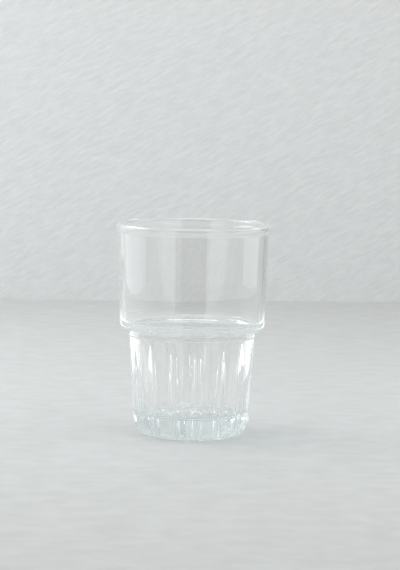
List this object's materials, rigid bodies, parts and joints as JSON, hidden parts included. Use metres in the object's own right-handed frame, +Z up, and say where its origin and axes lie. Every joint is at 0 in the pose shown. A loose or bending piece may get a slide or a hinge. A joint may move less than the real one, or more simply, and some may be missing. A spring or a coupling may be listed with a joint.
{
  "type": "stacking glass tumbler",
  "caption": "Clear pressed-glass tumbler with a wide plain bowl, a beaded rim, and a narrow fluted skirt that sets into another glass for stacking.",
  "frame": {"origin": "centre of the foot, on the surface that the glass stands on", "axes": "+Z up along the glass's axis; -Y is the front that the picture shows, and +X is the viewer's right"},
  "size_m": [0.085, 0.085, 0.116],
  "materials": {
    "clear_glass": "clear soda-lime glass, fire polished, with a faint cool green tint where it is thick"
  },
  "bodies": {
    "root": {"tumbler": "clear_glass"}
  },
  "joints": []
}
